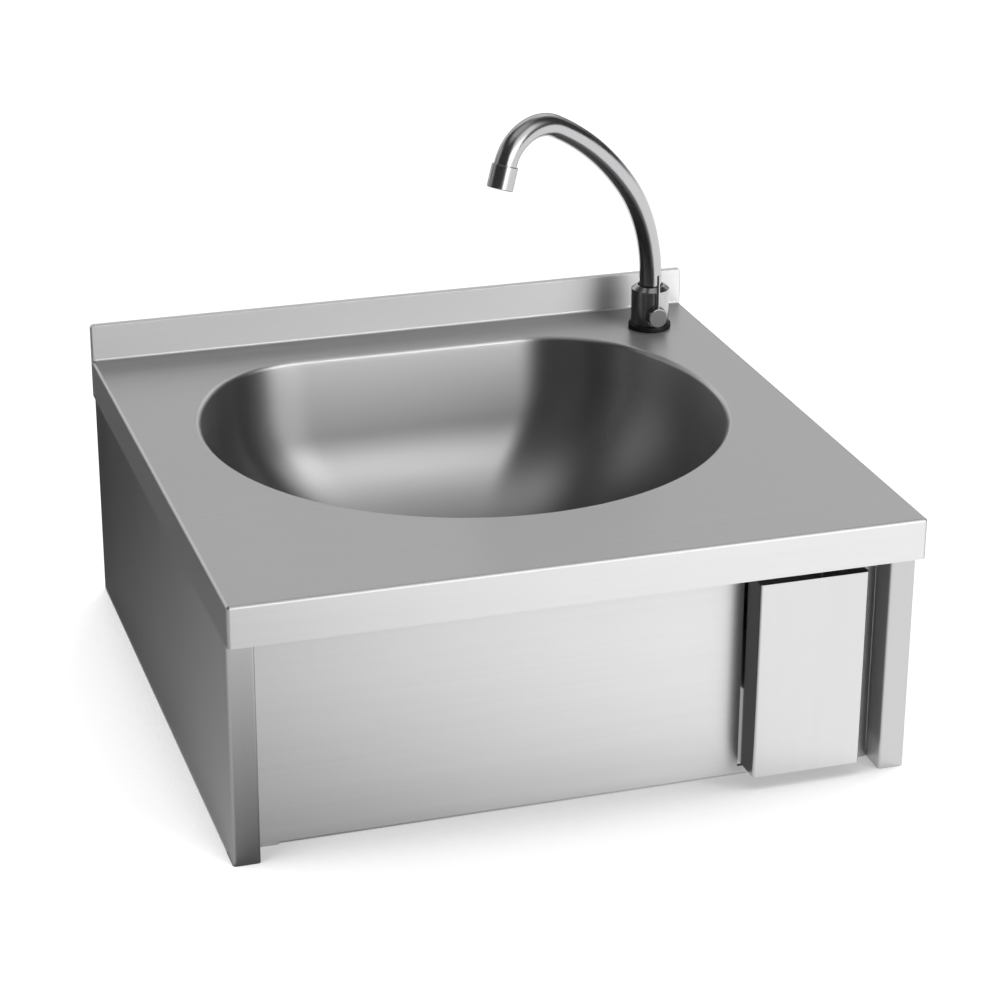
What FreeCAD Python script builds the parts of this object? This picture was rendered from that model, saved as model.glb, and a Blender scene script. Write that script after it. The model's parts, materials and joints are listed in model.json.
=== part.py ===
"""Wall-hung hand basin of folded sheet steel with a knee-operated valve and a swivel spout.

Millimetres. X is to the right, Y is toward the wall, Z is up.
The origin is on the wall plane, at the centre of the four wall-fixing holes.
"""
import FreeCAD
import Part
import math
import os

V = FreeCAD.Vector
X_AXIS = V(1, 0, 0)
Y_AXIS = V(0, 1, 0)
Z_AXIS = V(0, 0, 1)

# Overall sizes
basin_width = 500.0
basin_depth = 490.0
body_height = 200.0
sheet = 1.2
inner_bend = 1.2
outer_bend = inner_bend + sheet

# Wall fixings: four holes, and how far the deck lies above their centre
fixing_from_side = 17.0
fixing_spacing_z = 120.0
fixing_hole_r = 4.25
deck_z = 95.0

# Fits and gaps
running_gap = 0.05
rest_gap = 0.3

# Drawing aids: how far a cutter runs past a face, and how near counts as the same place
overrun = 1.0
same_place = 0.01

# Top sheet
apron_height = 30.5
apron_hem = 10.0
splash_height = 30.0
splash_depth = 5.0
splash_corner_r = 3.0
splash_bend = 1.2
splash_foot_r = 2.0

# Bowl: a round bowl with a flattened back, as large as its margins on the deck allow
bowl_side_margin = 47.0
bowl_front_margin = 87.0
bowl_back_margin = 48.0
bowl_flat = 51.0
bowl_r = min(basin_width / 2 - bowl_side_margin,
             (basin_depth - bowl_front_margin - bowl_back_margin + bowl_flat) / 2)
bowl_corner_r = 100.0
bowl_land = 8.0
bowl_rim_r = 3.5
bowl_draft = math.radians(4.0)
bowl_depth = 135.0
bowl_floor_margin = 26.2
waste_dish_r = 39.0
waste_dish_slope = 3.0
waste_dish_depth = 3.5
waste_hole_r = 24.0

# Side panels with their front posts
post_setback = 12.0
post_width = 19.5
fascia_recess = 21.5
fascia_lap = 16.0
rear_flange = 30.0

# Front panel
fascia_top_drop = 5.0
fascia_return = 14.0
fascia_return_clear = 1.5
fascia_stud_r = 2.0
fascia_stud_length = 9.0
fascia_stud_drop = 20.0
fascia_stud_up = 28.0
fascia_nut_af = 7.0
fascia_nut_height = 3.2

# Knee plate and its hinge
knee_from_side = 80.0
knee_width = 82.0
knee_top_drop = 38.5
knee_bottom_up = 11.0
knee_proud = 26.0
knee_gap = 1.5
knee_sweep_gap = 3.5
knee_rear_upper = 30.0
knee_rear_lower = 10.0
knee_taper_top_drop = 76.0
knee_taper_bottom_drop = 92.0
hinge_drop = 52.0
hinge_behind_fascia = 16.5
hinge_pin_r = 3.0
hinge_pin_end = 1.8
hinge_bush_r = 5.0
hinge_bush_inside = 3.0
hinge_flange_r = 7.5
hinge_flange = 1.2
hinge_clip_r = 6.0
hinge_clip = 0.8
hinge_groove_r = 2.4

# Push screw on the crossbar of the knee plate
push_arm = 55.0
push_dome_r = 6.0
push_head_r = 5.0
push_head_length = 4.0
push_shank_r = 3.0
push_shank_front = 9.0
push_nut_af = 10.0
push_nut_height = 4.0
crossbar_height = 26.0
crossbar_thickness = 2.0
crossbar_behind_fascia = 6.0

# Bracket behind the front panel
bracket_sheet = 2.0
bracket_depth = 53.0
bracket_lap = 13.0
bracket_top_drop = 37.0
bracket_bottom_drop = 132.0

# Knee valve
plunger_r = 4.0
plunger_collar_r = 7.0
plunger_collar = 3.0
plunger_stem_r = 2.5
valve_nose_r = 10.0
valve_nose_front = 12.0
valve_barrel_r = 13.0
valve_chamber_r = 8.0
valve_chamber_length = 40.0
valve_seat_wall = 4.0
valve_port_r = 4.5
valve_seal_r = 6.5
valve_seal = 3.0
valve_rear_chamber_r = 8.0
valve_rear_chamber = 22.0
valve_gland_r = 9.0
valve_gland_head = 5.0
valve_gland_thread = 6.0
valve_nut_af = 27.0
valve_nut_height = 5.0
valve_cap_af = 22.0
valve_cap_head = 6.0
valve_cap_thread = 4.0
valve_boss_r = 10.0
valve_outlet_margin = 1.2
valve_outlet_reach = 27.0
valve_inlet_reach = 27.0
spring_wire_r = 0.65
spring_coil_r = 5.6
spring_turns = 7

# Inlet manifold with two G 1/2 inlets
manifold_socket_r = 13.0
manifold_socket_depth = 12.0
manifold_bar_r = 11.0
manifold_bar_drop = 9.0
manifold_bore_r = 5.0
inlet_spacing = 50.0
inlet_thread_r = 10.48
inlet_thread = 15.0
inlet_collar_r = 12.5
inlet_collar_drop = 12.0
inlet_bore_r = 7.0
check_valve_length = 11.0
check_valve_port_r = 3.5

# Supply pipe from the valve to the tap
pipe_r = 5.0
pipe_bore_r = 4.0
pipe_bend_r = 22.0
pipe_first_run = 31.0
pipe_collar_r = 8.5
pipe_collar = 2.5
pipe_nut_af = 24.0
pipe_nut_grip = 9.0
pipe_nut_lip = 3.0

# Tap on the deck
tap_from_side = 46.0
tap_from_wall = 55.0
tap_hole_gap = 0.5
tap_gasket_r = 17.4
tap_gasket = 5.0
tap_gasket_round = 1.6
tap_body_r = 15.4
tap_body_height = 29.0
tap_shoulder = 3.0
tap_shoulder_r = 11.6
tap_tail_r = 10.0
tap_tail = 52.0
tap_bore_r = 4.5
tap_bore_top = 21.0
tap_washer_r = 17.0
tap_washer = 2.5
tap_nut_af = 27.0
tap_nut_height = 8.0

# Lever on the front of the tap
lever_height = 14.0
lever_boss_r = 8.6
lever_boss_reach = 16.2
cartridge_r = 6.0
cartridge_back = 3.0
spindle_r = 3.0
spindle_front = 3.0
knob_r = 8.0
knob_length = 4.2
knob_round = 0.7
lever_pin_r = 1.25
lever_pin_back = 2.2
lever_pin_sink = 3.0
lever_pin_reach = 36.0
lever_pin_round = 0.6

# Swan-neck spout
spout_r = 9.0
spout_wall = 1.2
spout_turn = math.radians(28.0)
spout_seat = 22.5
spout_rise_start = 39.0
spout_rise_r = 138.5
spout_rise_angle = math.radians(40.5)
spout_slope_r = 252.0
spout_slope_angle = math.radians(24.0)
spout_crown_r = 43.0
spout_crown_angle = math.radians(62.0)
spout_drop_r = 32.0
spout_drop_angle = math.radians(35.0)
spout_end_run = 13.0
spout_groove = 0.6
spout_groove_height = 2.0
spout_groove_up = 5.0
spout_bush_r = 10.5
spout_bush_length = 14.5
sleeve_r = 10.4
sleeve_length = 18.5
sleeve_lip = 1.2
sleeve_lip_r = 8.2
sleeve_round = 0.6
aerator_hole_r = 1.1
aerator_ring_r = (3.4, 6.4)
aerator_ring_count = (6, 12)

# Waste fitting
waste_flange_r = 35.0
waste_flange = 2.2
waste_flange_round = 1.1
waste_seal = 1.3
waste_seal_under = 2.5
waste_seal_inner_r = 27.0
waste_screw_r = 3.0
waste_head_r = 6.0
waste_head = 2.5
waste_head_round = 1.2
waste_body_flange_r = 34.0
waste_body_flange = 4.0
waste_tail_r = 20.95
waste_tail_wall = 2.5
waste_tail = 38.0
waste_bridge = 8.0
waste_bridge_thickness = 5.0
waste_bridge_drop = 8.0
strainer_hole_r = 2.6
strainer_ring_r = (10.0, 17.5)
strainer_ring_count = (7, 13)

# Places that follow from the sizes above
half_width = basin_width / 2
front_y = -basin_depth
floor_z = deck_z - body_height
panel_x = half_width - sheet
post_y = front_y + post_setback
fascia_y = post_y + fascia_recess
fascia_back_y = fascia_y + sheet
post_inner_x = panel_x - post_width
deck_under_z = deck_z - sheet
panel_top_z = deck_z - outer_bend - sheet
bowl_back_y = -bowl_back_margin
bowl_y = bowl_back_y - (bowl_r - bowl_flat)
knee_x = half_width - knee_from_side
knee_top_z = deck_z - knee_top_drop
knee_bottom_z = floor_z + knee_bottom_up
stud_heights = (deck_z - fascia_stud_drop, floor_z + fascia_stud_up)
hinge_y = fascia_back_y + hinge_behind_fascia
hinge_z = deck_z - hinge_drop
push_z = hinge_z - push_arm
plunger_tip_y = hinge_y + push_dome_r + rest_gap
bracket_back_y = fascia_back_y + bracket_depth + bracket_sheet
bracket_inner = knee_width / 2 + hinge_flange + rest_gap
valve_nose_y = bracket_back_y - bracket_sheet - valve_nose_front
gland_inner_y = valve_nose_y + valve_gland_thread
collar_y = gland_inner_y + rest_gap
seat_wall_y = collar_y + plunger_collar + valve_chamber_length
seat_y = seat_wall_y + valve_seat_wall
valve_rear_y = seat_y + valve_rear_chamber
outlet_y = seat_wall_y - valve_boss_r - valve_outlet_margin
outlet_x = knee_x + valve_outlet_reach
inlet_y = seat_y + valve_boss_r
inlet_z = push_z - valve_inlet_reach
manifold_z = inlet_z - manifold_bar_drop
inlet_collar_z = manifold_z - inlet_collar_drop
inlet_end_z = inlet_collar_z - inlet_thread
tap_x = half_width - tap_from_side
tap_y = -tap_from_wall
tap_body_z = deck_z + tap_gasket
tap_top_z = tap_body_z + tap_body_height + tap_shoulder
tap_tail_z = deck_z - tap_tail
lever_z = deck_z + lever_height
bush_z = deck_z + tap_bore_top
waste_floor_z = deck_z - bowl_depth - waste_dish_depth


def box(x0, x1, y0, y1, z0, z1):
    return Part.makeBox(x1 - x0, y1 - y0, z1 - z0, V(x0, y0, z0))


def rod(radius, start, end):
    """A round bar from point start to point end."""
    return Part.makeCylinder(radius, (end - start).Length, start, end - start)


def ring(outer_r, inner_r, start, end):
    return rod(outer_r, start, end).cut(rod(inner_r, start, end))


def hex_bar(across_flats, start, end):
    """A six-sided bar; two of its flats face up and down or front and back."""
    along = (end - start).normalize()
    side = V(0, 0, 1) if abs(along.z) < 0.5 else V(1, 0, 0)
    across = along.cross(side)
    corner_r = across_flats / math.sqrt(3)
    points = []
    for i in range(7):
        angle = math.radians(60 * i)
        points.append(start + across * (corner_r * math.cos(angle)) + side * (corner_r * math.sin(angle)))
    return Part.Face(Part.makePolygon(points)).extrude(end - start)


def fuse(shapes):
    return shapes[0].multiFuse(shapes[1:]).removeSplitter()


def turned(profile, centre, axis):
    """A solid turned from (radius, height) points around the axis through centre."""
    along = V(axis).normalize()
    out = X_AXIS if abs(along.x) < 0.5 else Y_AXIS
    points = [centre + out * r + along * h for r, h in profile]
    face = Part.Face(Part.makePolygon(points + points[:1]))
    return face.revolve(centre, along, 360)


def rounded_edges(points, radii):
    """Straight runs through the points, joined at the inner points by arcs of the given radii."""
    edges = []
    start = points[0]
    for i in range(1, len(points) - 1):
        back = (points[i - 1] - points[i]).normalize()
        ahead = (points[i + 1] - points[i]).normalize()
        half = back.getAngle(ahead) / 2
        reach = radii[i - 1] / math.tan(half)
        centre = points[i] + (back + ahead).normalize() * (radii[i - 1] / math.sin(half))
        middle = centre + (points[i] - centre).normalize() * radii[i - 1]
        arc_start = points[i] + back * reach
        arc_end = points[i] + ahead * reach
        edges.append(Part.makeLine(start, arc_start))
        edges.append(Part.Arc(arc_start, middle, arc_end).toShape())
        start = arc_end
    edges.append(Part.makeLine(start, points[-1]))
    return edges


def folded_sheet(path, thickness, place):
    """The section of a folded sheet as a face.

    path holds 2D points along one side of the sheet, which lies to the left of the path.
    place turns a 2D point into a point in space.
    """
    steps = [V(b[0] - a[0], b[1] - a[1], 0).normalize() for a, b in zip(path, path[1:])]
    lefts = [V(-d.y, d.x, 0) for d in steps]
    far = [V(*path[0], 0) + lefts[0] * thickness]
    near_radii = []
    far_radii = []
    for i in range(1, len(path) - 1):
        before, after = lefts[i - 1], lefts[i]
        far.append(V(*path[i], 0) + (before + after) * (thickness / (1 + before.dot(after))))
        left_turn = steps[i - 1].cross(steps[i]).z > 0
        near_radii.append(inner_bend + thickness if left_turn else inner_bend)
        far_radii.append(inner_bend if left_turn else inner_bend + thickness)
    far.append(V(*path[-1], 0) + lefts[-1] * thickness)
    near_points = [place(*p) for p in path]
    far_points = [place(p.x, p.y) for p in far]
    edges = rounded_edges(near_points, near_radii)
    edges.append(Part.makeLine(near_points[-1], far_points[-1]))
    edges += rounded_edges(far_points[::-1], far_radii[::-1])
    edges.append(Part.makeLine(far_points[0], near_points[0]))
    return Part.Face(Part.Wire(edges))


def swept_tube(edges, radius, bore_r):
    """A round tube along a chain of edges that starts with a straight run."""
    path = Part.Wire(edges)
    start = edges[0].Vertexes[0].Point
    along = edges[0].Vertexes[1].Point - start
    solids = []
    for r in (radius, bore_r):
        circle = Part.Wire(Part.makeCircle(r, start, along))
        solids.append(path.makePipeShell([circle], True, False))
    return solids[0].cut(solids[1])


def edges_where(shape, test):
    return [e for e in shape.Edges if test(e.BoundBox)]


def at(value, place):
    return abs(value - place) < same_place


def along_x(b):
    return at(b.YLength, 0) and at(b.ZLength, 0)


def along_y(b):
    return at(b.XLength, 0) and at(b.ZLength, 0)


def along_z(b):
    return at(b.XLength, 0) and at(b.YLength, 0)


# Bowl outline: a large arc in front, two corner arcs and a straight back
# Bowl wall: a rim bend, a straight run that leans by the draft, and a wide bend to the floor,
# whose radius leaves the margin flat around the dish of the waste
bowl_corner_y = bowl_back_y - bowl_corner_r
bowl_corner_x = math.sqrt((bowl_r - bowl_corner_r) ** 2 - (bowl_corner_y - bowl_y) ** 2)
bowl_corner_angle = math.atan2(bowl_corner_y - bowl_y, bowl_corner_x)
bowl_floor_inset = bowl_r - bowl_flat - waste_dish_r - bowl_floor_margin
bowl_bends_r = (bowl_floor_inset - bowl_depth * math.tan(bowl_draft)) / (
    math.cos(bowl_draft) - (1 - math.sin(bowl_draft)) * math.tan(bowl_draft))
bowl_foot_r = bowl_bends_r - bowl_rim_r
bowl_wall_drop = bowl_depth - bowl_bends_r * (1 - math.sin(bowl_draft))


def bowl_outline(grow, z):
    """The bowl's outline at height z as a face, moved outward by grow."""
    big = bowl_r + grow
    small = bowl_corner_r + grow
    centre = V(0, bowl_y, z)
    corner = V(bowl_corner_x, bowl_corner_y, z)
    other = V(-bowl_corner_x, bowl_corner_y, z)
    a = bowl_corner_angle
    middle = (a + math.pi / 2) / 2

    def on(point, radius, angle):
        return point + V(math.cos(angle), math.sin(angle), 0) * radius

    right = on(centre, big, a)
    left = on(centre, big, math.pi - a)
    back_right = on(corner, small, math.pi / 2)
    back_left = on(other, small, math.pi / 2)
    edges = [
        Part.Arc(left, on(centre, big, -math.pi / 2), right).toShape(),
        Part.Arc(right, on(corner, small, middle), back_right).toShape(),
        Part.makeLine(back_right, back_left),
        Part.Arc(back_left, on(other, small, math.pi - middle), left).toShape(),
    ]
    return Part.Face(Part.Wire(edges))


def bowl_wall_section(place):
    """The section of the bowl's wall, from the land on the deck to the floor.

    place turns (distance outward from the outline, height above the deck) into a point.
    The upper side is drawn first and the lower side back.
    """
    sin, cos = math.sin(bowl_draft), math.cos(bowl_draft)
    turn = (math.pi / 2 - bowl_draft) / 2
    rim_end = (-bowl_rim_r * cos, -bowl_rim_r * (1 - sin))
    foot_start = (rim_end[0] - bowl_wall_drop * sin / cos, rim_end[1] - bowl_wall_drop)
    foot_centre = (-bowl_floor_inset, foot_start[1] + bowl_foot_r * sin)

    def side(depth):
        rim_r = bowl_rim_r - depth
        foot_r = bowl_foot_r + depth
        rim_mid = (-rim_r * math.sin(turn), -bowl_rim_r + rim_r * math.cos(turn))
        foot_mid = (foot_centre[0] + foot_r * math.sin(turn), foot_centre[1] - foot_r * math.cos(turn))
        return [
            place(bowl_land, -depth),
            place(0, -depth),
            place(*rim_mid),
            place(rim_end[0] + depth * cos, rim_end[1] - depth * sin),
            place(foot_start[0] + depth * cos, foot_start[1] - depth * sin),
            place(*foot_mid),
            place(foot_centre[0], foot_centre[1] - foot_r),
        ]

    edges = []
    for p in (side(0), side(sheet)):
        edges.append(Part.makeLine(p[0], p[1]))
        edges.append(Part.Arc(p[1], p[2], p[3]).toShape())
        edges.append(Part.makeLine(p[3], p[4]))
        edges.append(Part.Arc(p[4], p[5], p[6]).toShape())
    edges.append(Part.makeLine(side(0)[0], side(sheet)[0]))
    edges.append(Part.makeLine(side(0)[-1], side(sheet)[-1]))
    return Part.Face(Part.Wire(Part.__sortEdges__(edges)))


def splash_foot():
    """The hollow bend between deck and splashback, as a strip with a quarter-round cut."""
    reach = half_width - outer_bend
    corner = V(-reach, -splash_depth, deck_z)
    strip = Part.makeBox(2 * reach, splash_foot_r, splash_foot_r, corner - Y_AXIS * splash_foot_r)
    centre = corner - Y_AXIS * splash_foot_r + Z_AXIS * splash_foot_r
    return strip.cut(rod(splash_foot_r, centre, centre + X_AXIS * 2 * reach))


def tap_point(z):
    return V(tap_x, tap_y, z)


def make_basin_top():
    """Deck with turned-down front and sides, and a boxed splashback along the wall."""
    bottom = deck_z - apron_height
    outer = box(-half_width, half_width, front_y, 0, bottom, deck_z)

    def bends(shape, y, z):
        return edges_where(shape, lambda b: (
            (along_x(b) and at(b.YMin, y) and at(b.ZMin, z))
            or (along_y(b) and at(b.ZMin, z))
            or (along_z(b) and at(b.YMin, y))))

    outer = outer.makeFillet(outer_bend, bends(outer, front_y, deck_z))
    inner = box(-panel_x, panel_x, front_y + sheet, 0, bottom, deck_under_z)
    inner = inner.makeFillet(inner_bend, bends(inner, front_y + sheet, deck_under_z))
    hem = box(-panel_x, panel_x, front_y + sheet, front_y + apron_hem, bottom, bottom + sheet)

    splash = box(-half_width, half_width, -splash_depth, 0, panel_top_z, deck_z + splash_height)
    top_corners = edges_where(splash, lambda b: along_y(b) and b.ZMin > deck_z)
    splash = splash.makeFillet(splash_corner_r, top_corners)
    top_front = edges_where(splash, lambda b: (
        at(b.YLength, 0) and at(b.YMin, -splash_depth) and b.ZMin > deck_z))
    splash = splash.makeFillet(splash_bend, top_front)
    cavity = box(-panel_x, panel_x, sheet - splash_depth, -sheet,
                 panel_top_z - sheet, deck_z + splash_height - sheet)

    top = fuse([outer.cut(inner), hem, splash, splash_foot()])
    opening = bowl_outline(bowl_land, deck_under_z - overrun).extrude(Z_AXIS * (sheet + 2 * overrun))
    tap_hole = rod(tap_tail_r + tap_hole_gap, tap_point(deck_under_z - overrun), tap_point(deck_z + overrun))
    return top.cut(cavity).cut(opening).cut(tap_hole)


def make_bowl():
    """The wall section is carried round the outline arc by arc, and a floor with a dish closes it."""

    def swept_round(centre, radius, start, sweep):
        face = bowl_wall_section(lambda u, h: V(centre.x + radius + u, centre.y, deck_z + h))
        face.rotate(centre, Z_AXIS, math.degrees(start))
        return face.revolve(centre, Z_AXIS, math.degrees(sweep))

    a = bowl_corner_angle
    corner_sweep = math.pi / 2 - a
    pieces = [
        swept_round(V(0, bowl_y, 0), bowl_r, math.pi - a, math.pi + 2 * a),
        swept_round(V(bowl_corner_x, bowl_corner_y, 0), bowl_corner_r, a, corner_sweep),
        swept_round(V(-bowl_corner_x, bowl_corner_y, 0), bowl_corner_r, math.pi / 2, corner_sweep),
    ]
    back = bowl_wall_section(lambda u, h: V(-bowl_corner_x, bowl_back_y + u, deck_z + h))
    pieces.append(back.extrude(V(2 * bowl_corner_x, 0, 0)))

    centre = V(0, bowl_y, deck_z - bowl_depth)
    floor = bowl_outline(-bowl_floor_inset, centre.z - sheet).extrude(Z_AXIS * sheet)
    floor = floor.cut(rod(waste_dish_r, centre - Z_AXIS * (sheet + overrun), centre + Z_AXIS * overrun))
    dish_foot_r = waste_dish_r - waste_dish_slope
    dish = turned([
        (waste_dish_r, 0),
        (dish_foot_r, -waste_dish_depth),
        (waste_hole_r, -waste_dish_depth),
        (waste_hole_r, -waste_dish_depth - sheet),
        (dish_foot_r + sheet / 2, -waste_dish_depth - sheet),
        (waste_dish_r, -sheet),
    ], centre, Z_AXIS)
    return fuse(pieces + [floor, dish])


def make_left_side_panel():
    """Rear flange, side, front post and a lap behind the front panel, folded from one sheet."""
    path = [
        (-panel_x + rear_flange, 0),
        (-panel_x, 0),
        (-panel_x, post_y),
        (-post_inner_x, post_y),
        (-post_inner_x, fascia_back_y),
        (-post_inner_x + fascia_lap, fascia_back_y),
    ]
    face = folded_sheet(path, sheet, lambda x, y: V(x, y, floor_z))
    panel = face.extrude(Z_AXIS * (panel_top_z - floor_z))
    for side in (-1, 1):
        z = side * fixing_spacing_z / 2
        x = fixing_from_side - half_width
        panel = panel.cut(rod(fixing_hole_r, V(x, -sheet - overrun, z), V(x, overrun, z)))
    for z in stud_heights:
        place = stud_place(-1, z)
        panel = panel.cut(rod(fascia_stud_r, place, place + Y_AXIS * fascia_stud_length))
    return panel


def stud_place(side, z):
    """Where a stud stands on the back of the front panel, behind the lap of a post."""
    return V(side * (post_inner_x - fascia_lap / 2), fascia_back_y, z)


def mirrored(shape):
    return shape.mirror(V(0, 0, 0), X_AXIS)


def make_front_panel():
    """Set-back front with returns at top and bottom, and a cut-out for the knee plate."""
    top_z = deck_z - fascia_top_drop
    half_return = post_inner_x - fascia_lap - fascia_return_clear
    half_front = post_inner_x - inner_bend
    path = [
        (fascia_y + fascia_return, top_z),
        (fascia_y, top_z),
        (fascia_y, floor_z),
        (fascia_y + fascia_return, floor_z),
    ]
    face = folded_sheet(path, sheet, lambda y, z: V(-half_return, y, z))
    middle = face.extrude(V(2 * half_return, 0, 0))
    sides = []
    for side in (-1, 1):
        inner_x, outer_x = sorted((side * half_return, side * half_front))
        sides.append(box(inner_x, outer_x, fascia_y, fascia_back_y, floor_z, top_z))
    cut_half = knee_width / 2 + knee_gap
    cut_out = box(knee_x - cut_half, knee_x + cut_half, fascia_y - overrun, fascia_back_y + overrun,
                  knee_bottom_z - knee_sweep_gap, knee_top_z + knee_gap)
    return fuse([middle] + sides).cut(cut_out)


def make_fascia_studs():
    studs = []
    for side in (-1, 1):
        for z in stud_heights:
            place = stud_place(side, z)
            studs.append(rod(fascia_stud_r, place, place + Y_AXIS * fascia_stud_length))
    return Part.makeCompound(studs)


def make_fascia_nuts():
    nuts = []
    for side in (-1, 1):
        for z in stud_heights:
            start = stud_place(side, z) + Y_AXIS * sheet
            end = start + Y_AXIS * fascia_nut_height
            nuts.append(hex_bar(fascia_nut_af, start, end).cut(rod(fascia_stud_r, start, end)))
    return Part.makeCompound(nuts)


def make_knee_plate():
    """A folded channel; its sides reach through the front panel and narrow below the hinge."""
    half = knee_width / 2
    knee_y = fascia_y - knee_proud
    rear_y = fascia_back_y + knee_rear_upper
    lower_y = fascia_back_y + knee_rear_lower
    path = [
        (knee_x - half, rear_y),
        (knee_x - half, knee_y),
        (knee_x + half, knee_y),
        (knee_x + half, rear_y),
    ]
    face = folded_sheet(path, sheet, lambda x, y: V(x, y, knee_bottom_z))
    plate = face.extrude(Z_AXIS * (knee_top_z - knee_bottom_z))
    left_x = knee_x - half - overrun
    right_x = knee_x + half + overrun
    taper = [
        V(left_x, rear_y + overrun, deck_z - knee_taper_top_drop),
        V(left_x, rear_y, deck_z - knee_taper_top_drop),
        V(left_x, lower_y, deck_z - knee_taper_bottom_drop),
        V(left_x, lower_y, knee_bottom_z - overrun),
        V(left_x, rear_y + overrun, knee_bottom_z - overrun),
    ]
    offcut = Part.Face(Part.makePolygon(taper + taper[:1])).extrude(X_AXIS * (right_x - left_x))
    hinge = rod(hinge_bush_r, V(left_x, hinge_y, hinge_z), V(right_x, hinge_y, hinge_z))
    return plate.cut(offcut).cut(hinge)


def valve_point(y):
    """A point on the line that the push screw, the plunger and the valve share."""
    return V(knee_x, y, push_z)


def make_knee_crossbar():
    half = knee_width / 2 - sheet
    y = fascia_back_y + crossbar_behind_fascia - crossbar_thickness
    bar = box(knee_x - half, knee_x + half, y, y + crossbar_thickness,
              push_z - crossbar_height / 2, push_z + crossbar_height / 2)
    return bar.cut(rod(push_shank_r, valve_point(y - overrun), valve_point(y + crossbar_thickness + overrun)))


def make_push_screw():
    """Adjusting screw; the centre of its dome lies straight below the hinge."""
    shank_y = fascia_back_y + crossbar_behind_fascia - crossbar_thickness - push_shank_front
    head_y = hinge_y + math.sqrt(push_dome_r ** 2 - push_head_r ** 2)
    shank = rod(push_shank_r, valve_point(shank_y), valve_point(hinge_y))
    head = rod(push_head_r, valve_point(head_y - push_head_length), valve_point(head_y))
    reach = rod(push_head_r, valve_point(head_y), valve_point(hinge_y + push_dome_r))
    dome = Part.makeSphere(push_dome_r, valve_point(hinge_y)).common(reach)
    return fuse([shank, head, dome])


def make_push_locknut():
    y = fascia_back_y + crossbar_behind_fascia
    start = valve_point(y)
    end = valve_point(y + push_nut_height)
    return hex_bar(push_nut_af, start, end).cut(rod(push_shank_r, start, end))


def make_hinge_bracket():
    """A hat-shaped bracket: its laps sit behind the front panel and behind the right post's lap."""
    left_x = knee_x - bracket_inner
    right_x = knee_x + bracket_inner
    back_y = bracket_back_y - bracket_sheet
    right_lap_y = fascia_back_y + sheet
    path = [
        (left_x - bracket_lap, fascia_back_y),
        (left_x, fascia_back_y),
        (left_x, back_y),
        (right_x, back_y),
        (right_x, right_lap_y),
        (right_x + bracket_lap, right_lap_y),
    ]
    face = folded_sheet(path, bracket_sheet, lambda x, y: V(x, y, deck_z - bracket_bottom_drop))
    bracket = face.extrude(V(0, 0, bracket_bottom_drop - bracket_top_drop))
    pin = rod(hinge_pin_r, V(left_x - bracket_lap, hinge_y, hinge_z),
              V(right_x + bracket_lap, hinge_y, hinge_z))
    nose = rod(valve_nose_r, valve_point(back_y - overrun), valve_point(bracket_back_y + overrun))
    return bracket.cut(pin).cut(nose)


def hinge_point(side, out):
    return V(knee_x + side * out, hinge_y, hinge_z)


hinge_clip_x = bracket_inner + bracket_sheet + rest_gap
hinge_end_x = hinge_clip_x + hinge_clip + hinge_pin_end


def make_hinge_pin():
    pin = rod(hinge_pin_r, hinge_point(-1, hinge_end_x), hinge_point(1, hinge_end_x))
    for side in (-1, 1):
        groove = ring(hinge_pin_r + overrun, hinge_groove_r,
                      hinge_point(side, hinge_clip_x), hinge_point(side, hinge_clip_x + hinge_clip))
        pin = pin.cut(groove)
    return pin


def make_hinge_bushes():
    """Flanged bushes in the sides of the knee plate."""
    bushes = []
    half = knee_width / 2
    for side in (-1, 1):
        start = hinge_point(side, half - sheet - hinge_bush_inside)
        middle = hinge_point(side, half)
        end = hinge_point(side, half + hinge_flange)
        bush = fuse([rod(hinge_bush_r, start, middle), rod(hinge_flange_r, middle, end)])
        bushes.append(bush.cut(rod(hinge_pin_r + running_gap, start, end)))
    return Part.makeCompound(bushes)


def make_hinge_clips():
    clips = []
    for side in (-1, 1):
        start = hinge_point(side, hinge_clip_x)
        end = hinge_point(side, hinge_clip_x + hinge_clip)
        clips.append(ring(hinge_clip_r, hinge_groove_r, start, end))
    return Part.makeCompound(clips)


def make_valve_body():
    """Barrel with two chambers parted by the seat wall, an outlet to the right and an inlet below."""
    outer = fuse([
        rod(valve_nose_r, valve_point(valve_nose_y), valve_point(bracket_back_y)),
        rod(valve_barrel_r, valve_point(bracket_back_y), valve_point(valve_rear_y)),
        rod(valve_boss_r, valve_point(outlet_y), V(outlet_x, outlet_y, push_z)),
        rod(valve_boss_r, valve_point(inlet_y), V(knee_x, inlet_y, inlet_z)),
    ])
    hollow = fuse([
        rod(valve_chamber_r, valve_point(valve_nose_y), valve_point(seat_wall_y)),
        rod(valve_port_r, valve_point(seat_wall_y), valve_point(seat_y)),
        rod(valve_rear_chamber_r, valve_point(seat_y), valve_point(valve_rear_y)),
        rod(valve_port_r, valve_point(outlet_y), V(outlet_x, outlet_y, push_z)),
        rod(valve_port_r, valve_point(inlet_y), V(knee_x, inlet_y, inlet_z)),
    ])
    return outer.cut(hollow)


def make_valve_gland():
    head_y = valve_nose_y - valve_gland_head
    head = rod(valve_gland_r, valve_point(head_y), valve_point(valve_nose_y))
    thread = rod(valve_chamber_r, valve_point(valve_nose_y), valve_point(gland_inner_y))
    bore = rod(plunger_r + running_gap, valve_point(head_y), valve_point(gland_inner_y))
    return fuse([head, thread]).cut(bore)


def make_valve_plunger():
    """The rod that the push screw moves; its thin stem carries the seal behind the seat."""
    collar_back_y = collar_y + plunger_collar
    return fuse([
        rod(plunger_r, valve_point(plunger_tip_y), valve_point(collar_y)),
        rod(plunger_collar_r, valve_point(collar_y), valve_point(collar_back_y)),
        rod(plunger_stem_r, valve_point(collar_back_y), valve_point(seat_y + valve_seal + rest_gap)),
    ])


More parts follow.
